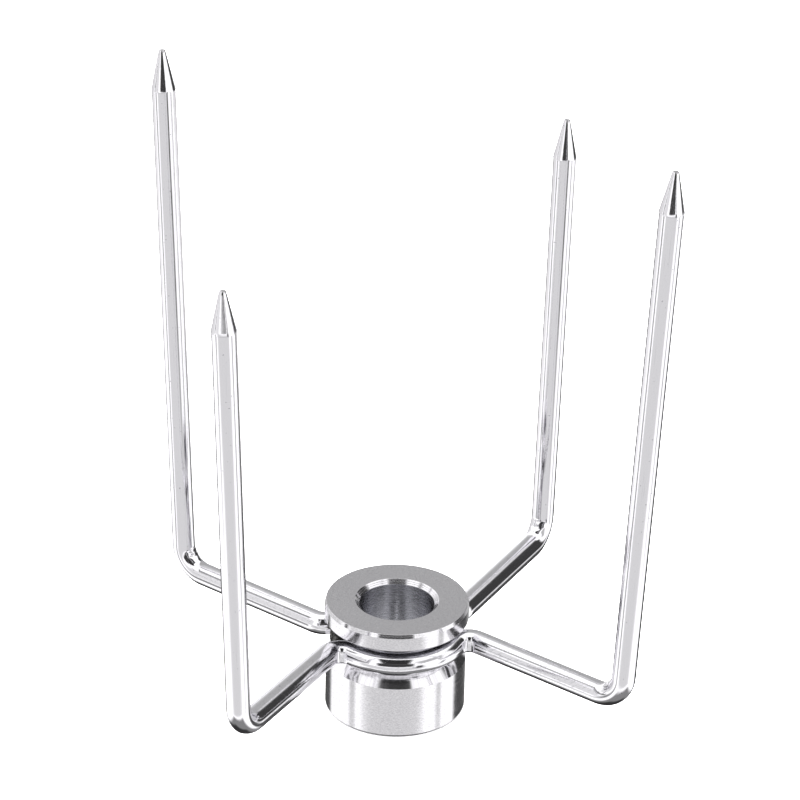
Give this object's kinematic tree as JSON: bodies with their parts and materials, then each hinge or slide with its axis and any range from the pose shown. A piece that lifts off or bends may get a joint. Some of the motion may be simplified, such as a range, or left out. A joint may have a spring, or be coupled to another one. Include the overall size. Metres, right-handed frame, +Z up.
{
  "type": "rotisserie spit fork",
  "caption": "Rotisserie spit fork: a bored, turned steel hub carrying bent-wire forks with upright pointed prongs, and a clamp screw that locks it on a round spit rod.",
  "frame": {"origin": "centre of the hub's underside, on the bore's axis", "axes": "+Z up the bore towards the points, -Y the front fork's side, +Y the clamp screw's side"},
  "size_m": [0.1292, 0.1132, 0.1918],
  "materials": {
    "turned_hub": "turned and lightly brushed stainless steel",
    "polished_wire": "polished stainless steel wire with fine drawing streaks",
    "weld_metal": "dark, unpolished weld",
    "screw_steel": "plain machined steel, knurled on the head"
  },
  "bodies": {
    "fork": {"hub_body": "turned_hub", "top_flange_ring": "turned_hub", "front_fork_wire": "polished_wire", "rear_fork_wire": "polished_wire", "left_weld_bead": "weld_metal", "right_weld_bead": "weld_metal"},
    "clamp_stud": {"clamp_screw_stud": "screw_steel"},
    "clamp_head": {"clamp_screw_head": "screw_steel"}
  },
  "joints": [
    {"name": "clamp_screw_slide", "type": "slide", "parent": "fork", "child": "clamp_stud", "axis": [0, -1, 0], "range_m": [-0.0025, 0.005]},
    {"name": "clamp_screw_turn", "type": "hinge", "parent": "clamp_stud", "child": "clamp_head", "pos_m": [0, 0.0315, 0.00835], "axis": [0, -1, 0], "range_deg": [-720, 1440]}
  ],
  "couplings": [
    {"joint": "clamp_screw_slide", "follows": "clamp_screw_turn", "m_per_rad": 0.00019894}
  ]
}
